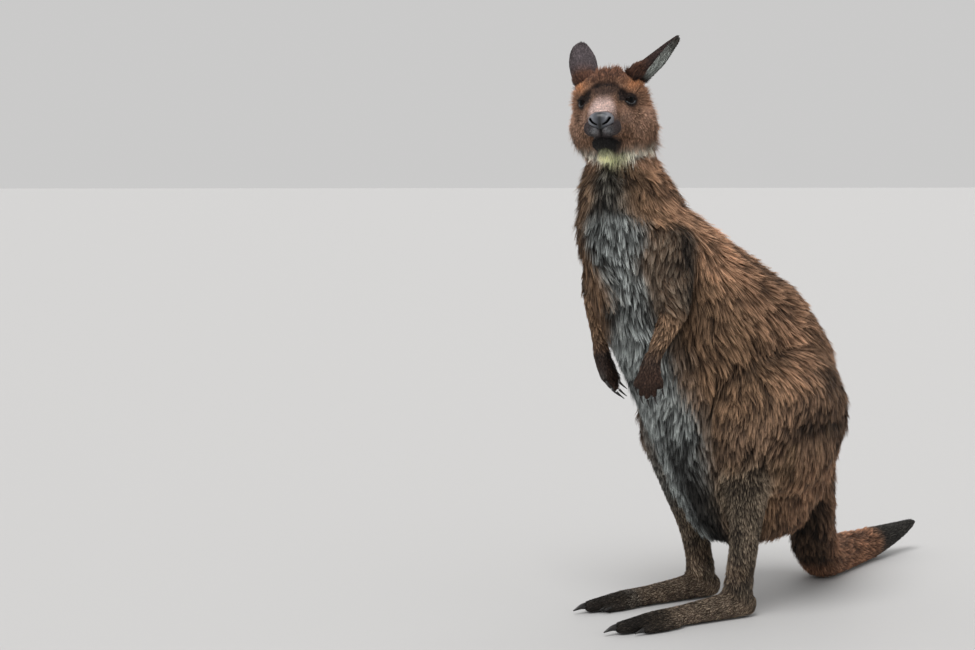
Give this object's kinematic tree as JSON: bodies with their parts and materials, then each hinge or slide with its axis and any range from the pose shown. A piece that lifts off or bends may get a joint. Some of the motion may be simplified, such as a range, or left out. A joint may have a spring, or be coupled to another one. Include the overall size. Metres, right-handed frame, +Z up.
{
  "type": "life-size kangaroo model",
  "caption": "Life-size kangaroo with a long soft coat, standing alert on both feet and its tail, head turned to its left.",
  "frame": {"origin": "on the floor, under the middle of the animal's box", "axes": "+Z up, -Y the way the body faces, +X the animal's left"},
  "size_m": [0.4006, 1.0422, 1.0584],
  "materials": {
    "coat_brown": "long soft brown fur",
    "coat_silver": "long soft silver-grey fur",
    "coat_ticked": "short ticked grey-brown fur",
    "coat_dark": "short near-black fur",
    "nose_skin": "bare pebbled skin",
    "eye_gloss": "wet and dark",
    "claw_horn": "worn black horn"
  },
  "bodies": {
    "root": {"abdomen": "coat_silver", "chest": "coat_silver", "claw_fifth_toe_left": "claw_horn", "claw_fifth_toe_right": "claw_horn", "claw_finger_1_left": "claw_horn", "claw_finger_1_right": "claw_horn", "claw_finger_2_left": "claw_horn", "claw_finger_2_right": "claw_horn", "claw_finger_3_left": "claw_horn", "claw_finger_3_right": "claw_horn", "claw_finger_4_left": "claw_horn", "claw_finger_4_right": "claw_horn", "claw_finger_5_left": "claw_horn", "claw_finger_5_right": "claw_horn", "claw_fourth_toe_left": "claw_horn", "claw_fourth_toe_right": "claw_horn", "claw_second_toe_left": "claw_horn", "claw_second_toe_right": "claw_horn", "claw_third_toe_left": "claw_horn", "claw_third_toe_right": "claw_horn", "ear_left": "coat_brown", "ear_right": "coat_brown", "eye_left": "eye_gloss", "eye_right": "eye_gloss", "foot_left": "coat_ticked", "foot_right": "coat_ticked", "forearm_left": "coat_ticked", "forearm_right": "coat_ticked", "hand_left": "coat_dark", "hand_right": "coat_dark", "head": "coat_brown", "hips": "coat_brown", "lower_jaw": "coat_dark", "neck": "coat_brown", "nose": "nose_skin", "shin_left": "coat_ticked", "shin_right": "coat_ticked", "tail_middle": "coat_brown", "tail_root": "coat_brown", "tail_tip": "coat_dark", "thigh_left": "coat_brown", "thigh_right": "coat_brown", "toe_fifth_left": "coat_dark", "toe_fifth_right": "coat_dark", "toe_fourth_left": "coat_dark", "toe_fourth_right": "coat_dark", "toes_joined_left": "coat_dark", "toes_joined_right": "coat_dark", "upper_arm_left": "coat_brown", "upper_arm_right": "coat_brown"}
  },
  "joints": []
}
